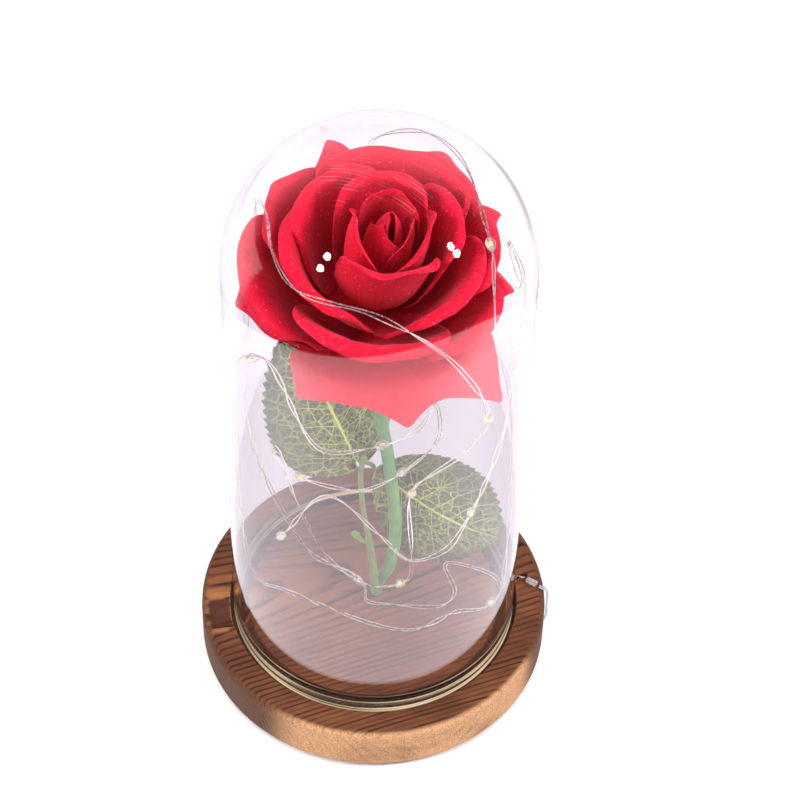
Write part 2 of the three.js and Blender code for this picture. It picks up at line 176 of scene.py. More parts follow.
def tubePiece(name, route, radii, sides=3):  # a round rod along route, radii in mm
    curve = bpy.data.curves.new(name, "CURVE")
    curve.dimensions = "3D"
    spline = curve.splines.new("POLY")
    spline.points.add(len(route) - 1)
    spline.points.foreach_set("co", np.c_[route * mm, np.ones(len(route))].ravel())
    spline.points.foreach_set("radius", np.broadcast_to(radii, len(route)).astype(float))
    curve.bevel_depth = mm
    curve.bevel_resolution = sides
    curve.use_fill_caps = True
    pick(newObject(name, curve))
    bpy.ops.object.convert(target="MESH")
    piece = bpy.context.object
    tidyShell(piece)
    bpy.ops.object.shade_smooth()
    return piece


def clothPiece(name, columns, rows, surface, cloth, rounds=0):  # a grid laid on surface(u, v), mm
    deselect()
    bpy.ops.mesh.primitive_grid_add(x_subdivisions=columns, y_subdivisions=rows, size=2)
    piece = bpy.context.object
    piece.name = piece.data.name = name
    flat = np.zeros(len(piece.data.vertices) * 3)
    piece.data.vertices.foreach_get("co", flat)
    u, v = (flat.reshape(-1, 3)[:, :2].T + 1) / 2
    piece.data.vertices.foreach_set("co", (surface(u, v) * mm).ravel())
    piece.data.update()
    addModifier(piece, "SOLIDIFY", thickness=cloth * mm, offset=0)
    if rounds:
        addModifier(piece, "SUBSURF", levels=rounds, render_levels=rounds)
    applyAll(piece)
    bpy.ops.object.shade_smooth()
    return piece


def blockPiece(name, size, place=(0, 0, 0)):  # a box, mm
    deselect()
    bpy.ops.mesh.primitive_cube_add(size=1, location=[v * mm for v in place])
    piece = bpy.context.object
    piece.name = piece.data.name = name
    piece.scale = [v * mm for v in size]
    settle(piece)
    return piece


def cutWith(piece, cutters):  # each cutter is taken out and removed
    for cutter in cutters:
        settle(cutter)
        addModifier(piece, "BOOLEAN", operation="DIFFERENCE", object=cutter, solver="EXACT")
        applyAll(piece)
        bpy.data.objects.remove(cutter)


def smoothStep(x, low, high):
    t = np.clip((x - low) / (high - low), 0, 1)
    return t * t * (3 - 2 * t)


def noiseAt(u, v, seed):  # soft noise, each seed its own
    return np.array([noise.noise(Vector((a, b, seed))) for a, b in np.broadcast(u, v)])


class Sock:  # a node's output, so that shader maths reads as plain sums
    def __init__(self, finish, socket):
        self.finish = finish
        self.socket = socket

    def maths(self, operation, first, second=0.0):
        return self.finish.node("ShaderNodeMath", {"operation": operation}, {0: first, 1: second})

    def __add__(self, other):
        return self.maths("ADD", self, other)

    def __radd__(self, other):
        return self.maths("ADD", other, self)

    def __sub__(self, other):
        return self.maths("SUBTRACT", self, other)

    def __rsub__(self, other):
        return self.maths("SUBTRACT", other, self)

    def __mul__(self, other):
        return self.maths("MULTIPLY", self, other)

    def __rmul__(self, other):
        return self.maths("MULTIPLY", other, self)

    def __truediv__(self, other):
        return self.maths("DIVIDE", self, other)

    def __pow__(self, other):
        return self.maths("POWER", self, other)

    def part(self):  # what is left after the whole number
        return self.maths("FRACT", self)

    def size(self):
        return self.maths("ABSOLUTE", self)

    def above(self, level):
        return self.maths("GREATER_THAN", self, level)

    def most(self, other):
        return self.maths("MAXIMUM", self, other)

    def step(self, low, high):  # smooth 0 to 1
        return self.finish.node(
            "ShaderNodeMapRange", {"interpolation_type": "SMOOTHSTEP"},
            {"Value": self, "From Min": low, "From Max": high},
        )


class Finish:  # a material or the world, its shader, and one short way to add a node
    def __init__(self, name, world=None):
        self.material = world or bpy.data.materials.new(name)
        self.material.use_nodes = True
        self.tree = self.material.node_tree
        self.shader = self.tree.nodes["Background" if world else "Principled BSDF"]

    def fill(self, sockets, values):
        for key, value in values.items():
            if isinstance(value, Sock):
                self.tree.links.new(value.socket, sockets[key])
            elif sockets[key].type == "RGBA":
                sockets[key].default_value = (*value, 1)
            else:
                sockets[key].default_value = value

    def give(self, values):
        self.fill(self.shader.inputs, values)
        return self

    def node(self, kind, settings, inputs, output=0):
        made = self.tree.nodes.new(kind)
        for key, value in settings.items():
            setattr(made, key, value)
        self.fill(made.inputs, inputs)
        return Sock(self, made.outputs[output])

    def coords(self, kind="Object"):
        return self.node("ShaderNodeTexCoord", {}, {}, kind)

    def ray(self, name):
        return self.node("ShaderNodeLightPath", {}, {}, name)

    def axis(self, vector, name):
        return self.node("ShaderNodeSeparateXYZ", {}, {"Vector": vector}, name)

    def noise(self, vector, scale, detail=2.0, rough=0.5):
        return self.node(
            "ShaderNodeTexNoise", {},
            {"Vector": vector, "Scale": scale, "Detail": detail, "Roughness": rough},
        )

    def drawnOut(self, vector, scale, detail):  # noise with a scale of its own on each axis
        mapped = self.node("ShaderNodeMapping", {}, {"Vector": vector, "Scale": scale})
        return self.noise(mapped, 1.0, detail)

    def mixed(self, factor, first, second):
        return self.node(
            "ShaderNodeMix", {"data_type": "RGBA"}, {0: factor, 6: first, 7: second}, 2
        )

    def layered(self, colour, layers):  # each layer is laid over the last where its mask is 1
        for mask, tone in layers:
            colour = self.mixed(mask, colour, tone)
        return colour

    def bump(self, height, distance, strength=1.0):
        return self.node(
            "ShaderNodeBump", {}, {"Height": height, "Distance": distance, "Strength": strength}
        )


# the camera, fitted to the outlines of the base and the dome
cameraSet = {
    "lens": 118.93,
    "sensor": 36,
    "clip": (0.01, 10),
    "place": (0, -0.540817, 0.723976),
    "right": (0.99980003, 0.0077028, 0.01845472),
    "up": (-0.01802254, 0.7469765, 0.66460612),
    "forward": (0.00866591, 0.66480582, -0.74696594),
}


def makeCamera():
    lensData = bpy.data.cameras.new("camera")
    lensData.lens = cameraSet["lens"]
    lensData.sensor_width = cameraSet["sensor"]
    lensData.clip_start, lensData.clip_end = cameraSet["clip"]
    camera = newObject("camera", lensData)
    right, up, forward = (Vector(cameraSet[k]) for k in ("right", "up", "forward"))
    turned = Matrix((right, up, -forward)).transposed().to_4x4()
    camera.matrix_world = Matrix.Translation(cameraSet["place"]) @ turned
    bpy.context.scene.camera = camera


makeCamera()


# light string: the same route as in the part's source, in mm; each row ends at the middle of a bead
stringSet = {
    "strand": 0.2,  # radius of one wire
    "apart": (0.32, 0.75),  # how far a wire runs from the middle line
    "apartAtBead": 0.2,
    "turnEvery": 52,
    "hold": 3.4,  # half of the straight stretch at a bead
    "step": 1.3,
    "turnWave": 34,  # length over which the twist speeds up and slows down
    "apartWave": 19,
    "bright": (0.95, 0.92, 0.87),
    "dull": (0.74, 0.69, 0.62),
    "stretches": [
        [
            (50.3, 6.6, 19.9), (49.1, 8, 19), (47.5, 7.8, 15.3), (45.7, 7.5, 13.9), (43.5, 7.2, 14),
            (41.9, 7, 19), (39.4, 8.8, 19.7), (24.3, 13, 19.5), (27.3, 0.5, 19.5), (23, -4.8, 19.5),
            (6, -4.8, 19.6), (-2.4, -3.4, 19.8), (-5, 4, 21),
        ],
        [
            (-19.7, 12.5, 22.3), (-28.8, 11, 43.2), (-40.9, 4, 101.1), (-40.6, 6, 144),
            (-37.5, 19, 168), (-36.5, 15, 186), (-32.4, 0, 195.1), (-30.4, -10, 189.9),
            (-22.7, -25, 189.6), (-1.3, -31.3, 187.1), (16.1, -34.3, 177.2), (25.4, -32, 163.1),
            (32.4, -27, 140.4),
        ],
        [(27.4, -22, 119.4), (11.4, -15, 90.2)],
        [(11.7, -17.2, 63.9), (8.6, -6.5, 33.4)],
        [
            (-1.6, -5.5, 30.7), (-13.2, -1.5, 36.5), (-25.7, -8, 79.7), (-29.4, -10, 101.4),
            (-31.7, -12, 108), (-31.3, -15, 108.2), (-23.2, -14, 96),
        ],
        [(-4.8, -15, 91.2), (8.1, -16.5, 102)],
        [(18.9, -11, 111.5), (18.2, 1, 114.1), (13.5, 0, 103.8), (1.8, -7.5, 104.1)],
        [(-16.8, -8, 101.8), (-37.6, -4.5, 139.6)],
        [
            (-43.2, -4, 118), (-38.5, 1, 24), (-31, 1, 19.5), (11.3, -15.3, 19.5), (28, -7.3, 19.6),
            (39.2, -4.8, 21.6),
        ],
        [
            (43.1, -1.5, 33), (42.8, -1.5, 90.6), (39, -13, 138.5), (33.9, -23.5, 167.3),
            (32.1, -22.8, 189.2), (31.5, -5, 189.5),
        ],
        [
            (23.3, 20, 198.9), (12.3, 32, 198.9), (-3, 40.5, 187), (-1, 43.2, 170), (13, 41, 150),
            (36, 24, 148), (42.3, 7, 160), (36.7, -3.5, 189.2), (40.7, -8, 182.4), (42.9, -8, 162.4),
            (40.6, -6, 133.1), (38.7, -10, 113.7), (30.3, -12, 77.7),
        ],
        [(22.5, -15, 62), (11.1, -18, 60.3), (3, -12, 63.3), (-14.3, -8, 79.5), (-30.6, 0, 49.2)],
    ],
}


def stringRoute():  # every point, with two straight ones in place of each bead's middle
    chosen = [np.array(p, float) for stretch in stringSet["stretches"] for p in stretch]
    points, beads, last = [], [], -1
    for stretch in stringSet["stretches"]:
        points += chosen[last + 1 : last + len(stretch)]
        last += len(stretch)
        middle = chosen[last]
        along = (middle - chosen[last - 1]) / np.linalg.norm(middle - chosen[last - 1])
        if last + 1 < len(chosen):
            onward = chosen[last + 1] - middle
            along = along + onward / np.linalg.norm(onward)
        along /= np.linalg.norm(along)
        beads.append((middle, along))
        points += [middle - along * stringSet["hold"], middle + along * stringSet["hold"]]
    return points, beads


def silverFinish():
    finish = Finish("silver_wire")
    spot = finish.coords()
    dull = finish.noise(spot, 900, 2).step(0.35, 0.75)
    return finish.give({
        "Base Color": finish.mixed(dull, stringSet["bright"], stringSet["dull"]),
        "Metallic": 1.0,
        "Roughness": dull * 0.2 + 0.22,
        "Normal": finish.bump(finish.noise(spot, 2500), 0.00005),
    })


def makeString():
    s = stringSet
    points, beads = stringRoute()
    route = smoothRoute(points, s["step"])
    first, second = carriedFrames(route)
    gone = np.arange(len(route)) * s["step"]
    wobble = noiseAt(gone / s["turnWave"], 0, 3) * 5
    turn = (gone / s["turnEvery"] * 2 * math.pi + wobble)[:, None]
    low, high = s["apart"]
    apart = low + (high - low) * np.clip(0.5 + 1.4 * noiseAt(gone / s["apartWave"], 0, 8), 0, 1)
    for middle, _ in beads:  # the pair closes up at a bead
        away = np.linalg.norm(route - middle, axis=1)
        apart = np.minimum(apart, s["apartAtBead"] + 0.06 * np.maximum(0, away - 3))
    offset = (np.cos(turn) * first + np.sin(turn) * second) * apart[:, None]
    strands = [tubePiece("strand", route + side * offset, s["strand"], 1) for side in (1, -1)]
    return joined(strands, "string_wire"), route, beads


beadSet = {
    "radius": 1.5,
    "half": 2.4,
    "chip": (0.8, 0.5, 1.2075),
    "chipBevel": 0.08,
    "yellow": ((0.9, 0.72, 0.12), (0.96, 0.86, 0.35)),
    "glow": ((0.9, 0.7, 0.1), (1.0, 0.85, 0.3)),
}
clearSet = {  # tint, noise, roughness, transmission, IOR, bump
    "clear_resin": ((0.97, 0.96, 0.93), (700, 3), (0.12, 0.02), 0.92, 1.5, 0.00012),
    "clear_lead": ((0.93, 0.93, 0.95), (600, 2), (0.2, 0.08), 0.85, 1.46, 0.0001),
    "clear_tube": ((0.97, 0.97, 0.98), (600, 2), (0.2, 0.08), 0.85, 1.46, 0.0001),
}


def clearFinish(name):
    tint, cloudiness, rough, through, ior, height = clearSet[name]
    finish = Finish(name)
    cloud = finish.noise(finish.coords(), *cloudiness)
    return finish.give({
        "Base Color": tint,
        "Roughness": cloud * rough[0] + rough[1],
        "Transmission Weight": through,
        "IOR": ior,
        "Normal": finish.bump(cloud, height),
    })


def chipFinish():
    finish = Finish("yellow_chip")
    speck = finish.noise(finish.coords(), 1500, 2).step(0.4, 0.6)
    return finish.give({
        "Base Color": finish.mixed(speck, *beadSet["yellow"]),
        "Roughness": 0.4,
        "Emission Color": finish.mixed(speck, *beadSet["glow"]),
        "Emission Strength": 0.25,
    })


def beadModel():  # a drop of resin round a chip, along Z; copied for every bead
    deselect()
    bpy.ops.mesh.primitive_uv_sphere_add(segments=20, ring_count=12, radius=mm)
    drop = bpy.context.object
    for vertex in drop.data.vertices:
        x, y, z = vertex.co / mm
        waist = beadSet["radius"] * (1 - 0.28 * z * z) * (1 + 0.12 * z)
        vertex.co = Vector((x * waist, y * waist * 0.92, z * beadSet["half"])) * mm
    drop.data.materials.append(resin.material)
    smoothShade(drop, 60)
    chip = blockPiece("chip", beadSet["chip"])
    addModifier(chip, "BEVEL", width=beadSet["chipBevel"] * mm, segments=2)
    applyAll(chip)
    chip.data.materials.append(chipYellow.material)
    return joined([drop, chip], "bead_model")


def makeBeads(beads):
    model = beadModel()
    made = []
    for i, (middle, along) in enumerate(beads):
        mesh = model.data.copy()
        turn = Vector((0, 0, 1)).rotation_difference(Vector(along)).to_matrix().to_4x4()
        roll = Matrix.Rotation(1.1 * i, 4, "Z")
        size = 1 + 0.08 * math.sin(2.3 * i)
        place = Matrix.Translation(Vector(middle) * mm)
        mesh.transform(place @ turn @ roll @ Matrix.Scale(size, 4))
        bead = newObject("string_bead_%02d" % (i + 1), mesh)
        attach(bead, "root")
        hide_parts("light_bead_%02d" % (i + 1))
        made.append(bead)
    bpy.data.objects.remove(model)
    return made


leadSet = {
    "core": 0.33,
    "step": 0.8,
    "route": [
        (21.6, 2.7, 1.5), (40, 2.7, 1.5), (54, 2.7, 1.5), (57.6, 2.7, 1.9), (58.7, 2.7, 4.8),
        (58.6, 2.7, 10), (58.6, 2.7, 15.4), (57.7, 2.9, 18.7), (55.6, 3.3, 19.7),
    ],
    "sleeve": [(54.7, 3.9, 20), (51.5, 6, 19.9)],
}


def makeLead():
    route = smoothRoute(leadSet["route"], leadSet["step"])
    across, _ = carriedFrames(route)
    core = leadSet["core"]
    cores = [tubePiece("core", route + side * across * core, core * 1.04, 2) for side in (1, -1)]
    lead = joined(cores, "lead_two_core")
    finished(lead, clearLead, ["battery_lead"])
    ends = [np.array(p) for p in leadSet["sleeve"]]
    line = np.array([ends[0] + (ends[1] - ends[0]) * t for t in (0, 0.04, 0.1, 0.9, 0.96, 1)])
    tubes = [tubePiece("sleeve", line, np.array([0.86, 1.0, 1.06, 1.06, 1.0, 0.86]), 5)]
    for side in (1, -1):  # both cores show inside the sleeve
        tubes.append(tubePiece("core", line + np.array([side * 0.3, side * 0.42, 0]), 0.24, 2))
    finished(joined(tubes, "splice_sleeve_clear"), clearTube, ["splice_sleeve"])
    return lead, route


silver = silverFinish()
chipYellow = chipFinish()
resin, clearLead, clearTube = (clearFinish(name) for name in clearSet)
wire, wireRoute, beadPlaces = makeString()
finished(wire, silver, ["light_string"])
beadPieces = makeBeads(beadPlaces)
tuple(wireRoute[0] * mm)
(wireRoute * mm).tolist()
lead, leadLine = makeLead()
tuple(leadLine[0] * mm)
(leadLine * mm).tolist()
print("light string and lead made")


# wooden base
baseSet = {
    "radius": 57.5,
    "height": 18.5,
    "topRound": 2.5,
    "footRound": 4,
    "grooveInner": 41.5,
    "grooveOuter": 48,
    "grooveDepth": 4,
    "grooveEdge": 0.35,  # how round the groove's edges are worn
    "notch": {"angle": 190, "radius": 8, "depth": 3.4, "out": 56, "length": 20},
    # out of the groove at the right: its middle as (distance from the axis, height)
    "wireSlot": {"angle": 9.4, "middle": (46.6, 15.5), "length": 13, "width": 1.8, "slant": -38},
    "recess": (42.6, 25.6, 9.4),
    "channel": {"y": 2.7, "width": 2.6, "depth": 3},
}


def makeBase():
    s = baseSet
    radius, height, inner, outer = s["radius"], s["height"], s["grooveInner"], s["grooveOuter"]
    foot, top, soft = s["footRound"], s["topRound"], s["grooveEdge"]
    floor = height - s["grooveDepth"]
    profile = (
        [(0, 0)]
        + arc(radius - foot, foot, foot, -90, 0, 8)
        + arc(radius - top, height - top, top, 0, 90, 8)
        + arc(outer + soft, height - soft, soft, 90, 180, 3)
        + [(outer, floor + 0.2), (outer - 0.2, floor), (inner + 0.2, floor), (inner, floor + 0.2)]
        + arc(inner - soft, height - soft, soft, 0, 90, 3)
        + [(0, height)]
    )
    base = spunPiece("base_wood", profile, 160)

    def placed(angle, out, lift, lean):  # turned about the base's axis, leant about its own Y
        return (
            Matrix.Rotation(math.radians(angle), 4, "Z")
            @ Matrix.Translation((out * mm, 0, lift * mm))
            @ Matrix.Rotation(math.radians(lean), 4, "Y")
        )

    cut = s["notch"]
    deselect()
    bpy.ops.mesh.primitive_cylinder_add(
        vertices=64, radius=cut["radius"] * mm, depth=cut["length"] * mm
    )
    notch = bpy.context.object
    notch.matrix_world = placed(cut["angle"], cut["out"], height + cut["radius"] - cut["depth"], 90)
    cut = s["wireSlot"]
    wireSlot = blockPiece("wire_slot", (cut["length"], cut["width"], 2 * cut["width"]))
    wireSlot.matrix_world = placed(cut["angle"], *cut["middle"], cut["slant"])
    length, width, depth = s["recess"]
    recess = blockPiece("recess", (length, width, 2 * depth))
    cut = s["channel"]
    channel = blockPiece(
        "channel", (radius, cut["width"], 2 * cut["depth"]), (radius / 2 + 5, cut["y"], 0)
    )
    cutWith(base, [notch, wireSlot, recess, channel])
    bevelled(base, 0.22, 2, 40)
    smoothShade(base, 32)
    return base


woodSet = {
    "grainTurn": -20,  # degrees on the face
    "ring": 0.0016,  # metres from one year's ring to the next
    "pith": (0.013, 0.012, 0.06),  # where the rings' centre line runs below the face
    "early": ((0.16, 0.056, 0.024), (0.1, 0.034, 0.015)),
    "late": ((0.03, 0.01, 0.006), (0.018, 0.007, 0.004)),
    "heart": (0.24, 0.09, 0.034),
    "side": ((0.6, 0.34, 0.175), (0.4, 0.2, 0.098)),
    "brownSide": (0.06, 0.023, 0.012),
    # painted shade tones for the groove and the notch
    "groove": (0.016, 0.007, 0.005),
    "notch": (0.04, 0.013, 0.007),
    # painted highlight tone for the notch's shoulders
    "paintedShoulderGlint": (0.24, 0.095, 0.036),
    "fibre": (0.04, 0.016, 0.009),
}


def woodFinish():
    finish = Finish("charred_pine")
    level = finish.coords()
    turn = (0, 0, math.radians(woodSet["grainTurn"]))
    spot = finish.node("ShaderNodeMapping", {}, {"Vector": level, "Rotation": turn})
    sway = finish.drawnOut(spot, (9, 26, 26), 2) - 0.5
    ripple = finish.drawnOut(spot, (60, 420, 420), 3) - 0.5
    fibre = finish.drawnOut(spot, (90, 1800, 900), 3)
    shift, depth, slope = woodSet["pith"]
    along = finish.axis(spot, "X")
    across = finish.axis(spot, "Y") - shift + sway * 0.004
    deep = finish.axis(spot, "Z") + depth + along * slope + sway * 0.002
    ring = ((across * across + deep * deep) ** 0.5 + ripple * 0.0004) / woodSet["ring"]
    phase = ring.part()
    strength = finish.drawnOut(spot, (10, 420, 420), 1).step(0.3, 0.6) * 0.6 + 0.4
    late = phase.step(0.5, 0.86) * (1 - phase.step(0.93, 1.0)) * strength
    patchy = finish.drawnOut(level, (30, 60, 60), 3)
    heart = (1 - across.size().step(0.004, 0.017)) * patchy.step(0.25, 0.6)
    early = finish.mixed(patchy.step(0.35, 0.7), *woodSet["early"])
    dark = finish.mixed(patchy.step(0.4, 0.65), *woodSet["late"])
    # the turned side is paler; the groove and the notch are darkened with painted shade where shade
    # falls in them
    x, y, z = (finish.axis(level, name) for name in "XYZ")
    radius = (x * x + y * y) ** 0.5
    speck = finish.drawnOut(level, (2400, 2400, 1500), 3)
    browner = y - x * 0.3 + (patchy - 0.5) * 0.012
    side = finish.layered(woodSet["side"][1], [
        (speck.step(0.36, 0.62), woodSet["side"][0]),
        (late * 0.12, dark),
        (browner.step(-0.047, -0.034) * 0.92, woodSet["brownSide"]),
    ])
    onSide = radius.step(0.0555, 0.0572) * (0.9 - patchy.step(0.55, 0.8) * 0.35)
    sunk = 1 - z.step(0.0177, 0.0184)
    paintedGrooveShade = sunk * radius.step(0.0412, 0.0417) * (1 - radius.step(0.0479, 0.0482))
    paintedNotchShade = sunk * radius.step(0.0482, 0.0485) * (1 - radius.step(0.0545, 0.0562))
    # painted highlight: lighter orange glints on both shoulders of the notch
    facing = math.radians(baseSet["notch"]["angle"])
    out = x * math.cos(facing) + y * math.sin(facing)
    beside = (y * math.cos(facing) - x * math.sin(facing)).size()
    paintedShoulderGlint = out.step(0.049, 0.0505) * (1 - out.step(0.054, 0.0562)) * z.step(0.015, 0.017)
    paintedShoulderGlint = paintedShoulderGlint * beside.step(0.0056, 0.0063) * (1 - beside.step(0.0074, 0.0092))
    colour = finish.layered(early, [
        (heart * 0.8, woodSet["heart"]),
        (late, dark),
        (fibre.step(0.35, 0.8) * 0.45, woodSet["fibre"]),
        (onSide, side),
        (paintedGrooveShade * 0.95, woodSet["groove"]),
        (paintedNotchShade * 0.92, woodSet["notch"]),
        (paintedShoulderGlint * 0.8, woodSet["paintedShoulderGlint"]),
    ])
    return finish.give({
        "Base Color": colour,
        "Roughness": 0.74 - late * 0.18 + (fibre - 0.5) * 0.2,
        "Normal": finish.bump(late * 0.6 + fibre * 0.5 + speck * 0.3, 0.00035),
        "Specular IOR Level": 0.14,
    })


charredPine = woodFinish()
finished(makeBase(), charredPine, ["wooden_base"])
print("wooden base made")


# glass dome
domeSet = {
    "radius": 46.75,
    "wall": 1,
    "rimWall": 2,
    "thicker": (26, 18),  # heights between which the wall grows to its rim
    "top": 220,
    "rim": 14.8,
    "tint": (0.965, 0.945, 0.975),
    "shadow": (0.97, 0.95, 0.98),
    # painted glow colour of the rim lines
    "rimLight": (0.85, 0.66, 0.42),
    # painted glint colour of the scratches
    "scratchGlintTone": (1.0, 0.9, 0.92),
}


def makeDome():
    s = domeSet
    shoulder = s["top"] - s["radius"]
    inner = s["radius"] - s["wall"]
    rimInner = s["radius"] - s["rimWall"]
    half = s["rimWall"] / 2
    inside = arc(0, shoulder, inner, 90, 0, 48)
    wallDown = [(inner, z) for z in np.linspace(shoulder - 6, 30, 14)]
    high, low = s["thicker"]
    heights = np.linspace(high, low, 7)
    thicker = [(inner + (rimInner - inner) * smoothStep(z, high, low), z) for z in heights]
    rim = arc(s["radius"] - half, s["rim"] + half, half, -180, 0, 10)
    wallUp = [(s["radius"], z) for z in np.linspace(20, shoulder - 6, 16)]
    outside = arc(0, shoulder, s["radius"], 0, 90, 48)
    inside[0] = (0, inside[0][1])
    outside[-1] = (0, s["top"])  # both poles on the axis
    dome = spunPiece("dome_glass_shell", inside + wallDown + thicker + rim + wallUp + outside, 144)
    bpy.ops.object.shade_smooth()
    return dome


def glassFinish():
    finish = Finish("dome_glass")
    spot = finish.coords()
    x, y, z = (finish.axis(spot, name) for name in "XYZ")
    streak = finish.drawnOut(spot, (40, 40, 9), 2)
    # painted glow: fine cream lines emitted on the thick rim, standing in for light caught in it
    outerWall = (x * x + y * y).step(0.046 ** 2, 0.0464 ** 2)
    lines = finish.drawnOut(spot, (14, 14, 2600), 1).step(0.34, 0.56)
    lines = lines * (finish.noise(spot, 26, 2).step(0.3, 0.65) * 0.6 + 0.4)
    lines = lines * outerWall * z.step(0.0165, 0.0168) * (1 - z.step(0.0186, 0.019))
    paintedRimGlow = finish.mixed(lines, (0, 0, 0), domeSet["rimLight"])
    # painted glints: fine scratches high on the front, all running one way, glowing by emission
    slant = (z * 0.5 - y - x * 0.4) * 2200
    run = finish.node("ShaderNodeCombineXYZ", {}, {"X": x * 60, "Y": 0.0, "Z": slant})
    rubbed = finish.noise(spot, 70, 2).step(0.45, 0.65) * z.step(0.2125, 0.2145)
    scratchGlints = finish.noise(run, 1.0, 1).step(0.6, 0.72) * rubbed
    scratchGlints = scratchGlints * (1 - y.step(-0.004, 0.003)) * 0.14
    # shadow rays pass straight through
    solid = Sock(finish, finish.shader.outputs[0])
    clear = finish.node("ShaderNodeBsdfTransparent", {}, {"Color": domeSet["shadow"]})
    shade = finish.ray("Is Shadow Ray")
    both = finish.node("ShaderNodeMixShader", {}, {0: shade, 1: solid, 2: clear})
    finish.tree.links.new(both.socket, finish.tree.nodes["Material Output"].inputs["Surface"])
    return finish.give({
        "Base Color": domeSet["tint"],
        "Roughness": 0.0,
        "Transmission Weight": 1.0,
        "IOR": 1.5,
        "Emission Color": finish.mixed(scratchGlints, paintedRimGlow, domeSet["scratchGlintTone"]),
        "Emission Strength": 1.0,
        "Normal": finish.bump(streak * 0.4, 0.0004, 0.25),
    })


domeGlass = glassFinish()
finished(makeDome(), domeGlass, ["glass_dome"])
print("glass dome made")


# flower
flowerSet = {
    "centre": (-2.2, 3.4, 158.4),
    "tilt": 12,
    "lean": 5,
    "cloth": 0.4,
    # rank, then the control points (radius, height) of the cup that petals of that rank are cut from
    "cups": [
        [(1.0, 7.6), (5.5, 16), (7, 31), (0.4, 39.5)],
        [(2.6, 5.6), (12, 10), (13, 32), (9.5, 41.5)],
        [(4.2, 3.6), (19, 6), (17, 33), (19.5, 39)],
        [(5.8, 1.6), (26, 2), (23, 34), (31.5, 34)],
        [(7.4, -0.4), (33, -2), (30, 30), (42.5, 22)],
        [(9.0, -2.4), (30, -4), (33, 12), (44, -6)],
    ],
    # azimuth, rank, half width in degrees, how far the corners fall back; then what differs
    "petals": [
        (100, 0.0, 172, 0.02, dict(power=1.1, skew=0.012, tips=[(-0.3, 0.07, 0.5)])),
        (225, 0.05, 110, 0.3, dict(power=1.1, length=0.93, skew=0.012)),
        (345, 0.1, 98, 0.32, dict(power=1.1, length=0.93, skew=0.015)),
        (80, 0.15, 92, 0.22, dict(power=1.4, skew=0.015)),
        (198, 0.195, 86, 0.42, dict(power=1.35, length=1.04)),
        (345, 0.24, 84, 0.4, dict(power=1.35, length=1.04)),
        (95, 0.3, 82, 0.2, dict(length=1.02)),
        (275, 0.335, 72, 0.12, dict(power=2.6, length=1.06, curl=0.02)),
        (15, 0.42, 62, 0.25, dict(power=3, curl=0.02)),
        (140, 0.478, 62, 0.25, dict(power=3, curl=0.02)),
        (203, 0.545, 70, 0.34, dict(power=2, length=1.01, curl=0.03)),
        (330, 0.58, 60, 0.38, dict(length=0.99, skew=-0.02, curl=0.03)),
        (80, 0.63, 66, 0.25, dict(power=3.5, length=1.05)),
        (8, 0.67, 50, 0.4, dict(power=3, length=0.99)),
        (265, 0.7, 60, 0.26, dict(curl=0.03)),
        (150, 0.7, 42, 0.45, dict(power=3, length=0.94, tips=[(0, 0.08, 0.4)])),
        (195, 0.8, 50, 0.35, dict(power=3, length=1.02, curl=0.02)),
        (63, 0.752, 44, 0.4, dict(power=3, tips=[(0, 0.08, 0.4)])),
        (322, 0.775, 44, 0.4, dict(power=3, length=0.94, curl=0.02)),
        (111, 0.8, 26, 0.7, dict(length=0.92, tips=[(0, 0.15, 0.4)])),
        (32, 0.845, 30, 0.6, dict(length=0.86, tips=[(0, 0.2, 0.4)])),
        (196, 0.9, 44, 0.5, dict(power=2.5, length=0.86, tips=[(0, 0.12, 0.4)])),
        (0, 0.91, 36, 0.5, dict(length=0.78, tips=[(0, 0.2, 0.4)])),
        (283.5, 1.0, 60, 0.0, dict(
            power=3, length=0.81, skew=0, taper=0.24,
            tips=[(0.06, 0.17, 0.45), (-0.96, 0.08, 0.35), (0.96, 0.3, 0.7)],
        )),
    ],
    # what a petal has unless its row says otherwise
    "usual": dict(power=2.2, length=1, skew=0.02, curl=0, taper=0.12, tips=()),
    # by rank: degrees that the rim is rolled, length that is rolled, how crumpled the cloth is
    "rolls": [(0, 8), (0.1, 20), (0.2, 60), (0.4, 105), (0.6, 125), (0.8, 100), (0.9, 60), (1.0, 15)],
    "rolledLengths": [(0, 1.0), (0.15, 2.0), (0.3, 3.4), (0.6, 4.6), (1.0, 4.2)],
    "crumples": [(0, 0.25), (0.3, 0.35), (0.6, 0.6), (0.8, 0.9), (1.0, 0.8)],
    "heartShift": (2.2, 2.4, 1.6),  # how far the bud stands from the flower's axis
    "heart": [
        (0, -5.4), (5.6, -5.4), (6.4, -5.2), (9.8, -4.6), (10.1, -4.3), (6, 0), (2.4, 5.2), (1.4, 6.5),
        (0, 7.1),
    ],
    # painted shade: inner is the darker tone at the petals' base, deep in the flower; outer is the
    # tone at the rim
    "inner": (0.49, 0.002, 0.016),
    "outer": (0.55, 0.003, 0.025),
    "blotch": (0.64, 0.006, 0.03),
    "lint": (0.9, 0.2, 0.24),
    "pit": (0.22, 0.001, 0.006),
}
flowerPose = (
    Matrix.Translation(flowerSet["centre"])
    @ Matrix.Rotation(math.radians(flowerSet["tilt"]), 4, "X")
    @ Matrix.Rotation(math.radians(flowerSet["lean"]), 4, "Y")
)
poseTurn = np.array(flowerPose.to_3x3())
poseShift = np.array(flowerPose.translation)
cupControls = np.array(flowerSet["cups"], float)


def posed(points):
    return points @ poseTurn.T + poseShift


def spunOnFlower(name, profile, steps):  # spun about the flower's own axis
    piece = spunPiece(name, profile, steps)
    piece.data.transform(Matrix.Scale(mm, 4) @ flowerPose @ Matrix.Scale(1 / mm, 4))
    return piece


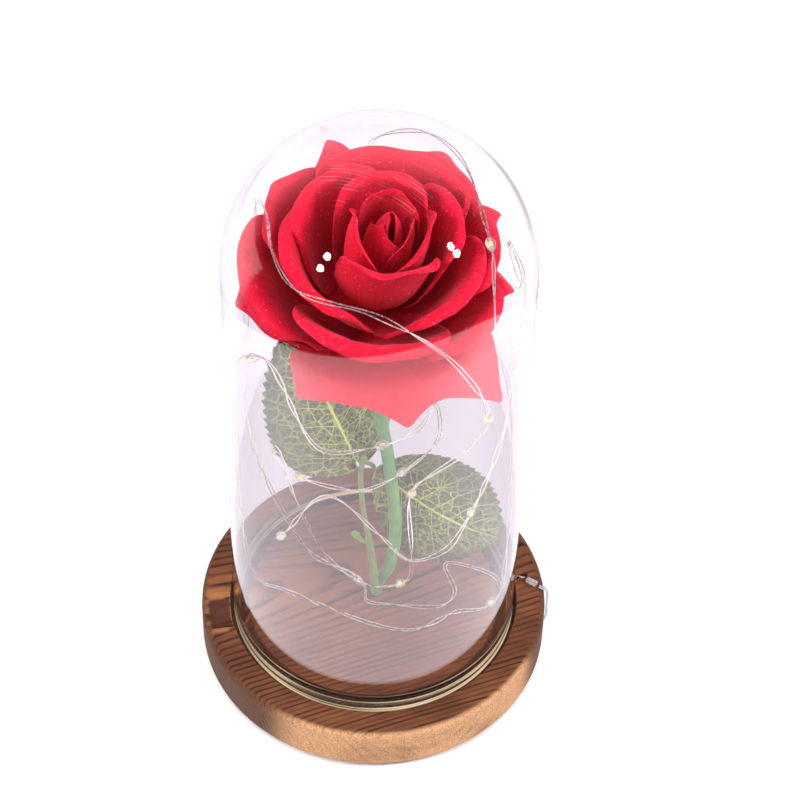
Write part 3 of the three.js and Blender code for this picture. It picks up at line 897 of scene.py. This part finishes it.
def cupPoints(rank, t):
    place = np.clip(rank, 0, 1) * 5
    low = np.minimum(place.astype(int), 4)
    share = (place - low)[:, None, None]
    a, b, c, d = np.moveaxis(cupControls[low] * (1 - share) + cupControls[low + 1] * share, 1, 0)
    t = t[:, None]
    s = 1 - t
    return s * s * s * a + 3 * s * s * t * b + 3 * s * t * t * c + t * t * t * d


def petalPoints(petal, across, along):
    reach = petal["length"] * (1 - petal["fall"] * np.abs(across) ** petal["power"])
    if not petal["tips"]:  # rounded corners
        reach = reach * (1 - 0.3 * smoothStep(np.abs(across), 0.68, 1) ** 2)
    for place, rise, width in petal["tips"]:
        reach = reach + rise * np.maximum(0, 1 - np.abs(across - place) / width) ** 1.5
    rank = petal["rank"] + petal["skew"] * across * (0.3 + 0.7 * along) + petal["curl"] * along ** 3
    r, z = cupPoints(rank, np.minimum(along * reach, 1.2)).T
    opening = 0.42 + 0.58 * smoothStep(along, 0, 0.5)
    narrowing = 1 - petal["taper"] * smoothStep(along, 0.65, 1)
    turn = np.radians(petal["azimuth"] + petal["half"] * across * opening * narrowing)
    return np.stack([r * np.cos(turn), r * np.sin(turn), z], 1)


def petalSurface(petal, number):
    rollDegrees, rollLength, crumple = (
        np.interp(petal["rank"], *zip(*flowerSet[name]))
        for name in ("rolls", "rolledLengths", "crumples")
    )

    def unit(vectors):
        return vectors / np.maximum(np.linalg.norm(vectors, axis=1), 1e-9)[:, None]

    def surface(u, v):
        across, along = 2 * u - 1, 1 - (1 - v) ** 1.5
        e = 1e-3
        edge = smoothStep(np.abs(across), 0.55, 1)
        uneven = 1 + 0.5 * noiseAt(across * 2.2, 0, number * 7.1)
        for place, _, _ in petal["tips"]:  # a pointed corner lies flat
            uneven = uneven * (1 - 0.85 * np.exp(-(((across - place) / 0.2) ** 2)))
        # the length that is rolled, and where the roll starts on this line of the cloth
        low, high = (petalPoints(petal, across, 0 * along + t) for t in (0.85, 0.95))
        speed = np.linalg.norm(high - low, axis=1) / 0.1
        rolled = np.maximum(0.2, rollLength * uneven * (1 - 0.8 * edge))
        start = 1 - rolled / np.maximum(speed, 10)
        flat = np.minimum(along, start)
        point = petalPoints(petal, across, flat)
        onward = unit(petalPoints(petal, across, flat + e) - petalPoints(petal, across, flat - e))
        sideways = petalPoints(petal, across + e, flat) - petalPoints(petal, across - e, flat)
        outward = unit(np.cross(sideways, onward))
        radius = rolled / np.radians(rollDegrees * uneven)
        angle = np.maximum(0, along - start) * speed / radius
        point = point + onward * (radius * np.sin(angle))[:, None]
        point = point + outward * (radius * (1 - np.cos(angle)))[:, None]
        # slow waves towards the rim, fine puckers that run up the cloth
        wave = noiseAt(across * 2.6, along * 1.3, number * 3.7) * along ** 2 * 1.6
        pucker = noiseAt(across * 9, along * 2.2, number * 5.3 + 40) * along * 0.5
        point = point + outward * ((wave + pucker) * crumple)[:, None]
        lean = (along * np.clip(1 - petal["rank"] / 0.45, 0, 1))[:, None]
        return posed(point + lean * np.array(flowerSet["heartShift"]))

    return surface


def petalFinish():
    s = flowerSet
    finish = Finish("crimson_cloth")
    spot = finish.coords()
    run = finish.coords("UV")
    weave = finish.noise(spot, 2600, 2, 0.7)
    veins = finish.drawnOut(run, (26, 2.2, 1), 3)
    colour = finish.layered(s["inner"], [
        (finish.axis(run, "Y").step(0.1, 0.9), s["outer"]),
        (finish.noise(spot, 120, 3).step(0.4, 0.75) * 0.35, s["blotch"]),
        (finish.noise(spot, 1300, 1).step(0.66, 0.74) * 0.5, s["lint"]),
        (finish.noise(spot, 1100, 2).step(0.6, 0.72) * 0.35, s["pit"]),
    ])
    return finish.give({
        "Base Color": colour,
        "Roughness": weave * 0.2 + 0.62,
        "Subsurface Weight": 0.3,
        "Subsurface Radius": (1.0, 0.12, 0.14),
        "Subsurface Scale": 0.003,
        "Specular IOR Level": 0.18,
        "Sheen Weight": 0.14,
        "Sheen Roughness": 0.45,
        "Sheen Tint": (1.0, 0.35, 0.42),
        "Normal": finish.bump(weave * 0.6 + veins * 2.0, 0.00026),
    })


crimsonCloth = petalFinish()
for number, (azimuth, rank, half, fall, own) in enumerate(flowerSet["petals"], 1):
    petal = dict(flowerSet["usual"], azimuth=azimuth, rank=rank, half=half, fall=fall, **own)
    columns = 44 if half > 50 else 32
    surface = petalSurface(petal, number)
    piece = clothPiece("cloth_petal_%02d" % number, columns, 26, surface, flowerSet["cloth"], 1)
    finished(piece, crimsonCloth, ["petal_%02d" % number])
print("petals made")

heart = spunOnFlower("flower_core", flowerSet["heart"], 48)
smoothShade(heart)
finished(heart, crimsonCloth, ["flower_heart"])


# stem, branch and calyx
stemSet = {
    "radius": 2.1,
    "route": [
        (0.9, 1, 18.92), (1.1, 1, 23), (4.6, 1, 31.7), (6.4, 1, 43.5), (6.7, 1, 56.5),
        (5.1, 1, 75.7), (3.4, 1.2, 91.2), (1.3, 1.8, 106.7), (0.6, 3.2, 122),
        (-2.6, 6.4, 134), (-3.6, 6.9, 142.2), (-2.9, 5.1, 150.6),
    ],
    "foot": [(0.5, -2.6, 24.5), (0, -2.5, 33.4)],
    "branch": [(-1.7, -3, 50.9), (-4, -3, 68.8), (-4.7, -3, 86.1), (-3.8, -2.5, 92.9)],
    "rightFork": [
        (-3.9, -2.5, 91.4), (-3.2, -1, 88.3), (-2.2, 1.2, 85.2), (-0.9, 5, 79.5),
        (-0.6, 8.6, 73.2), (-0.6, 10, 71.2),
    ],
    "bud": [(-1.7, -3, 49.5), (-4, -3.2, 51.6), (-7, -3.4, 56)],
    "scars": (58, 104),  # heights of the leaf scars
    "greens": ((0.075, 0.22, 0.06), (0.15, 0.33, 0.1)),
    "branchGreens": ((0.11, 0.18, 0.045), (0.2, 0.28, 0.08)),
}


def stemFinish(name, greens):
    finish = Finish(name)
    spot = finish.coords()
    mottled = finish.noise(spot, 260, 3)
    ribs = finish.drawnOut(spot, (900, 900, 60), 2)
    return finish.give({
        "Base Color": finish.mixed(mottled.step(0.3, 0.7), *greens),
        "Roughness": mottled * 0.2 + 0.3,
        "Subsurface Weight": 0.35,
        "Subsurface Radius": (0.4, 1.0, 0.3),
        "Subsurface Scale": 0.0015,
        "Normal": finish.bump(ribs + mottled * 0.5, 0.0002),
    })


def rodRadii(route, radius, swell, seed=1.0):
    return radius * (1 + swell * 2 * noiseAt(np.arange(len(route)) / 14, 0, seed))


def makeStem():
    route = smoothRoute(stemSet["route"], 1.0)
    radii = rodRadii(route, stemSet["radius"] * 0.98, 0.04)
    for scar in stemSet["scars"]:
        radii = radii + 0.35 * np.exp(-(((route[:, 2] - scar) / 1.3) ** 2))
    radii[0] *= 0.9
    return tubePiece("stem_green", route, radii, 6)


def makeBranch():
    s = stemSet
    whole = smoothRoute(s["foot"] + s["branch"], 1.0)
    thick = np.interp(whole[:, 2], [24, 36, 50, 56, 92], [1.35, 1.3, 1.25, 0.95, 0.85])
    thick *= rodRadii(whole, 1, 0.04, 5)
    bud = smoothRoute(s["bud"], 0.5)
    gone = np.linspace(0, 1, len(bud))
    swollen = np.interp(gone, [0, 0.5, 0.75, 0.95, 1], [0.7, 0.75, 1.25, 1.0, 0.4])
    rods = [(whole, thick), (smoothRoute(s["rightFork"], 1.0), 0.72), (bud, swollen)]
    return joined([tubePiece("rod", route, radii, 4) for route, radii in rods], "branch_green")


calyxSet = {
    "cup": [
        (0, -12.6), (2.7, -13.6), (3.2, -13.9), (4.6, -12.6), (6.2, -10.2), (6.6, -8.4),
        (6.4, -6.1), (5.8, -5.75), (0, -5.75),
    ],
    "sepals": 5,
    "cloth": 0.6,
    "halfWidth": 3.6,
    "from": 4.5,  # where a sepal leaves the cup's middle
    "length": 12.5,
    "drop": 6,
}


def sepalSurface(turn):
    def surface(u, v):
        side = 2 * u - 1
        bulge = np.maximum(0, np.sin(np.pi * np.clip(v * 0.8 + 0.2, 0, 1))) ** 0.7
        width = calyxSet["halfWidth"] * bulge
        fold = -0.5 * np.abs(side) * width * 0.4
        height = -8 - calyxSet["drop"] * v * v + fold
        x, y = calyxSet["from"] + calyxSet["length"] * v, side * width
        c, s = math.cos(turn), math.sin(turn)
        return posed(np.stack([x * c - y * s, x * s + y * c, height], 1))

    return surface


def makeCalyx():
    parts = [spunOnFlower("cup", calyxSet["cup"], 40)]
    smoothShade(parts[0], 50)
    for i in range(calyxSet["sepals"]):
        surface = sepalSurface(2 * math.pi * (i + 0.3) / calyxSet["sepals"])
        parts.append(clothPiece("sepal", 10, 16, surface, calyxSet["cloth"], 1))
    return joined(parts, "calyx_green")


stemGreen = stemFinish("stem_green_plastic", stemSet["greens"])
branchGreen = stemFinish("branch_green_plastic", stemSet["branchGreens"])
finished(makeStem(), stemGreen, ["rose_stem"])
finished(makeBranch(), branchGreen, ["leaf_branch"])
finished(makeCalyx(), branchGreen, ["calyx"])
print("stem, branch and calyx made")


# leaves
leafSet = {
    "cloth": 0.35,
    "teeth": 20,
    "toothDepth": 1.5,
    "veins": 7,
    "veinRise": 0.3,
    "greens": ((0.007, 0.014, 0.008), (0.032, 0.047, 0.028)),
    "veinGreen": (0.52, 0.6, 0.12),
    "leaves": {
        "leaf_left": dict(
            base=(-6.3, -0.6, 88.6), tip=(-27.9, 17, 127.9), side=(0.81, 0.56, 0.19),
            halfWidth=21, narrowSide=0.98, peak=0.764, round=0.58, lobe=0.052, arch=3, fold=0.16,
        ),
        "leaf_right": dict(
            base=(3, 10.9, 67.4), tip=(40.6, 4.3, 44.4), side=(-0.425, -0.115, -0.898),
            halfWidth=20.9, narrowSide=1.1, peak=1, round=0.614, lobe=0.08, arch=4, fold=0.14,
        ),
    },
}


def leafSurface(leaf, seed):
    start, run = np.array(leaf["base"]), np.array(leaf["tip"]) - np.array(leaf["base"])
    side = np.array(leaf["side"]) / np.linalg.norm(leaf["side"])
    face = np.cross(side, run)
    face /= np.linalg.norm(face)
    onward = run / np.linalg.norm(run)

    def surface(u, v):
        across, along = 2 * u - 1, v
        out = np.abs(across)
        oval = 0.03 + 0.97 * np.maximum(0, np.sin(np.pi * along ** leaf["peak"])) ** leaf["round"]
        width = leaf["halfWidth"] * oval * np.where(across > 0, leaf["narrowSide"], 1)
        tooth = leafSet["toothDepth"] * ((along * leafSet["teeth"]) % 1 - 0.45)
        tooth = tooth * smoothStep(out, 0.86, 1) * smoothStep(1 - along, 0, 0.1)
        lift = leaf["arch"] * 4 * along * (1 - along) - leaf["fold"] * out * width
        branch = ((along - leafSet["veinRise"] * out ** 1.15) * leafSet["veins"]) % 1
        furrow = np.exp(-((np.minimum(branch, 1 - branch) / 0.09) ** 2))
        furrow = furrow * smoothStep(1 - out, 0.05, 0.3)
        middle = np.exp(-((out * width / 0.7) ** 2))
        lift = lift - 0.3 * furrow - 0.5 * middle + 0.5 * np.sin(branch * 2 * np.pi) * 0.25 * out
        lift = lift + 0.7 * noiseAt(across * 2.1, along * 2.6, seed)
        back = leaf["lobe"] * out * out * (1 - along) ** 2
        point = start + run * (along - back)[:, None] + side * (across * width)[:, None]
        point = point + side * (np.sign(across) * tooth)[:, None] + onward * (tooth * 0.8)[:, None]
        return point + face * lift[:, None]

    return surface


def leafFinish():
    s = leafSet
    finish = Finish("veined_leaf")
    run = finish.coords("UV")
    spot = finish.coords()
    out = ((finish.axis(run, "X") - 0.5) * 2).size()
    along = finish.axis(run, "Y")
    shake = finish.noise(spot, 150, 2) - 0.5
    swirl = finish.node(
        "ShaderNodeTexNoise", {}, {"Vector": spot, "Scale": 220.0, "Detail": 2.0}, "Color"
    )
    pushed = finish.node(
        "ShaderNodeVectorMath", {"operation": "MULTIPLY_ADD"},
        {0: swirl, 1: (0.0017, 0.0017, 0.0017), 2: spot},
    )

    def net(scale, low, high):
        cells = finish.node(
            "ShaderNodeTexVoronoi", {"feature": "DISTANCE_TO_EDGE"}, {"Vector": pushed, "Scale": scale}
        )
        return 1 - cells.step(low, high)

    branch = ((along - out ** 1.15 * s["veinRise"] + shake * 0.03) * s["veins"]).part()
    ribs = 1 - ((branch - 0.5).size() * -1 + 0.5).step(0.008, 0.035)
    middle = 1 - (out + shake * 0.03).step(0.01, 0.034)
    strength = finish.noise(spot, 60, 2).step(0.25, 0.6)
    lines = (net(240.0, 0.008, 0.042) * 0.85).most(net(560.0, 0.012, 0.07) * strength * 0.7)
    lines = lines.most(net(1100.0, 0.02, 0.1) * strength * 0.3).most(ribs)
    fade = (1 - out.step(0.25, 1.0) * 0.6).most(1 - along.step(0.0, 0.5))
    lines = (lines * fade).most(middle)
    speck = finish.noise(spot, 1500, 2)
    green = finish.mixed(speck.step(0.35, 0.7), *s["greens"])
    return finish.give({
        "Base Color": finish.mixed(lines, green, s["veinGreen"]),
        "Roughness": speck * 0.25 + 0.45,
        "Specular IOR Level": 0.2,
        "Normal": finish.bump(speck * 0.6 - lines * 0.5, 0.00025),
    })


veinedLeaf = leafFinish()
for number, (node, leaf) in enumerate(leafSet["leaves"].items()):
    name = node.replace("leaf", "cloth_leaf")
    piece = clothPiece(name, 36, 160, leafSurface(leaf, 5.0 + 9 * number), leafSet["cloth"])
    finished(piece, veinedLeaf, [node])
print("leaves made")


# battery box below the base
boxSet = {
    "size": (42, 25, 7.5),
    "foot": 1.7,
    "cover": 32,
    "coverFoot": 0.4,
    "gap": 0.3,
    "knob": (4, 6),
    "knobAside": -4,
    "grip": (1.0, 12, 0.5),
    "gripEvery": 1.9,
    "rib": (5, 0.5, 0.5),
    "ribEvery": 1.1,
    "white": ((0.78, 0.78, 0.75), (0.7, 0.7, 0.66)),
    "black": ((0.02, 0.02, 0.022), (0.03, 0.03, 0.032)),
}


def insetFace(piece, direction, inset, depth):  # a sunk panel on the face that looks that way
    openEdit(piece, "DESELECT")
    bpy.ops.object.mode_set(mode="OBJECT")
    for face in piece.data.polygons:
        face.select = face.normal.dot(Vector(direction)) > 0.9
    bpy.ops.object.mode_set(mode="EDIT")
    bpy.ops.mesh.select_mode(type="FACE")
    bpy.ops.mesh.inset(thickness=inset * mm, depth=-depth * mm)
    bpy.ops.object.mode_set(mode="OBJECT")


def makeBatteryBox():
    s = boxSet
    length, width, height = s["size"]
    foot = s["coverFoot"]
    thick = s["foot"] - s["gap"] - foot
    level = (s["foot"] - s["gap"] + foot) / 2
    coverMiddle = (s["cover"] - length) / 2
    knobMiddle = length / 2 - (length - s["cover"]) / 2
    shell = blockPiece("battery_shell", s["size"], (0, 0, s["foot"] + height / 2))
    insetFace(shell, (0, 0, 1), 1.6, 0.5)
    cover = blockPiece("battery_lid", (s["cover"] - s["gap"], width, thick), (coverMiddle, 0, level))
    insetFace(cover, (0, 0, -1), 1.4, 0.25)
    cutWith(cover, [  # grip grooves at the lid's end
        blockPiece("grip", s["grip"], (coverMiddle + 8.5 + s["gripEvery"] * i, 0, foot + 0.2))
        for i in range(5)
    ])
    knob = blockPiece("switch_slider", (*s["knob"], thick), (knobMiddle, s["knobAside"], level))
    cutWith(knob, [
        blockPiece("rib", s["rib"], (knobMiddle, s["knobAside"] + s["ribEvery"] * i, foot))
        for i in (-2, -1, 0, 1, 2)
    ])
    for piece, bevel in ((shell, 0.7), (cover, 0.18), (knob, 0.12)):
        bevelled(piece, bevel, 3, 50)
        smoothShade(piece, 40)
    return shell, cover, knob


def plasticFinish(name, colours):
    finish = Finish(name)
    spot = finish.coords()
    stain = finish.noise(spot, 90, 3).step(0.3, 0.8)
    orange = finish.noise(spot, 1800, 2)
    return finish.give({
        "Base Color": finish.mixed(stain, *colours),
        "Roughness": orange * 0.15 + 0.4,
        "Normal": finish.bump(orange, 0.00006),
    })


boxWhite = plasticFinish("box_white_plastic", boxSet["white"])
knobBlack = plasticFinish("knob_black_plastic", boxSet["black"])
shell, cover, knob = makeBatteryBox()
finished(shell, boxWhite, ["battery_box"])
finished(cover, boxWhite, ["battery_cover"])
finished(knob, knobBlack, ["switch_knob"])
print("battery box made")


# floor and studio light
studioSet = {
    # lamps seen as small dots in the glass, by the glass's own direction where they show
    "dots": [
        (-0.35, -0.655, 0.669), (-0.31, -0.612, 0.727), (0.42, -0.522, 0.743), (0.456, -0.544, 0.704),
    ],
    "dotLamp": {"distance": 0.9, "size": 0.08, "watts": 2.2},
    "softLamps": {  # place, what it points at, size, watts
        "soft_top": ((0, -0.35, 1.5), (0, -0.1, 0), 1.3, 17),
        "soft_left": ((-1.0, -0.2, 0.85), (0, 0, 0.1), 0.7, 6),
        "soft_right": ((1.0, -0.2, 0.85), (0, 0, 0.1), 0.7, 6),
    },
    "floor": (0.9, 0.9, 0.9),
    "glow": 2.1,  # how strongly the painted glow of the mirrored and the seen-through table shines
    # the painted lit part of the table in the glass, an oval: middle, half lengths, degrees
    "litTable": {"centre": (0.16, -0.274), "halves": (0.5, 0.367), "turn": -39.3},
    # its painted light by how far away it lies, and the painted dark of the table round it
    "litNear": (0.72, 0.65, 0.71),
    "litMiddle": (1.0, 0.92, 0.985),
    "litFar": (0.58, 0.555, 0.59),
    "darkNear": (0.004, 0.004, 0.005),
    "darkFar": (0.46, 0.44, 0.465),
    "inWall": (0.9, 0.87, 0.93),  # painted glow after more than one mirroring in the wall
    "cardReflections": [(-0.36, 0.45, 0.12), (0.2, 0.33, 0.09)],  # painted reflections of cream cards behind: x, y, radius
    "cream": (0.12, 0.11, 0.08),
    "behind": ((0.38, 0.365, 0.39), (0.62, 0.59, 0.62)),  # painted glow of the table seen through the glass, darker near as painted shade, near and far
    "sky": (0.42, 0.42, 0.43),
    "skyInGlass": ((0.004, 0.004, 0.005), (0.95, 0.92, 1.0)),  # in front and behind
    "skyInWall": (1.5, 1.42, 1.3),
}


def floorFinish():  # painted reflections: what the glass mirrors, and the table seen through it, glow as colour painted on the floor, a round of light on a dark table
    s = studioSet
    finish = Finish("floor")
    depth = finish.ray("Glossy Depth")
    mirrored = depth.above(0.5)
    through = finish.ray("Transmission Depth").above(0.5)
    spot = finish.coords()
    x, y = finish.axis(spot, "X"), finish.axis(spot, "Y")

    def oval(centre, halves, degrees, soft):
        c, d = math.cos(math.radians(degrees)), math.sin(math.radians(degrees))
        u = ((x - centre[0]) * c + (y - centre[1]) * d) / halves[0]
        v = ((y - centre[1]) * c - (x - centre[0]) * d) / halves[1]
        return 1 - ((u * u + v * v) ** 0.5).step(1 - soft, 1 + soft)

    paintedLamplight = finish.layered(s["litNear"], [
        (y.step(-0.24, -0.1), s["litMiddle"]), (y.step(-0.09, 0.03), s["litFar"]),
    ])
    layers = [(y.step(0.02, 0.12), s["darkFar"]), (oval(*s["litTable"].values(), 0.012), paintedLamplight)]
    for a, b, radius in s["cardReflections"]:
        layers.append((oval((a, b), (radius, radius), 0, 0.4) * 0.7, s["cream"]))
    glow = finish.layered(s["darkNear"], layers + [(depth.above(1.5), s["inWall"])])
    behind = finish.mixed(through, (0, 0, 0), finish.mixed(y.step(0.1, 0.16), *s["behind"]))
    return finish.give({
        "Base Color": finish.mixed(1 - mirrored.most(through), (0, 0, 0), s["floor"]),
        "Roughness": 0.9,
        "Specular IOR Level": 0.0,
        "Emission Color": finish.mixed(mirrored, behind, glow),
        "Emission Strength": s["glow"],
    })


def makeFloor():
    deselect()
    bpy.ops.mesh.primitive_plane_add(size=20, location=(0, 0, -0.0005))
    made = bpy.context.object
    made.name = "floor"
    settle(made)
    made.data.materials.append(floorFinish().material)


def areaLamp(name, place, target, size, watts, shape="SQUARE", shows=False):
    data = bpy.data.lights.new(name, "AREA")
    data.shape = shape
    data.size = size
    data.energy = watts
    lamp = newObject(name, data)
    lamp.location = place
    lamp.rotation_euler = (Vector(target) - Vector(place)).to_track_quat("-Z", "Y").to_euler()
    lamp.visible_camera = False
    lamp.visible_glossy = shows
    lamp.visible_transmission = shows


def makeLamps():
    eye = Vector(cameraSet["place"])
    middle = Vector((0, 0, (domeSet["top"] - domeSet["radius"]) * mm))
    lamp = studioSet["dotLamp"]
    for number, way in enumerate(studioSet["dots"]):
        normal = Vector(way).normalized()
        spot = middle + normal * domeSet["radius"] * mm
        back = (eye - spot).normalized()
        towards = 2 * normal.dot(back) * normal - back
        place = spot + towards * lamp["distance"]
        areaLamp("dot_lamp_%d" % (number + 1), place, spot, lamp["size"], lamp["watts"], "DISK", True)
    for name, lamp in studioSet["softLamps"].items():
        areaLamp(name, *lamp)


def skyFinish():  # pale all round; in the glass it is dim in front and bright behind
    finish = Finish("studio", bpy.context.scene.world)
    depth = finish.ray("Glossy Depth")
    heading = finish.axis(finish.coords("Generated"), "Y")
    inGlass = finish.mixed(heading.step(0.1, 1.0), *studioSet["skyInGlass"])
    inGlass = finish.mixed(depth.above(1.5), inGlass, studioSet["skyInWall"])
    sky = finish.mixed(depth.above(0.5), studioSet["sky"], inGlass)
    finish.give({"Color": sky, "Strength": 1.0})


makeFloor()
makeLamps()
bpy.context.scene.world = bpy.data.worlds.new("studio")
skyFinish()
bpy.context.scene.view_settings.view_transform = "Standard"
print("floor and light made")
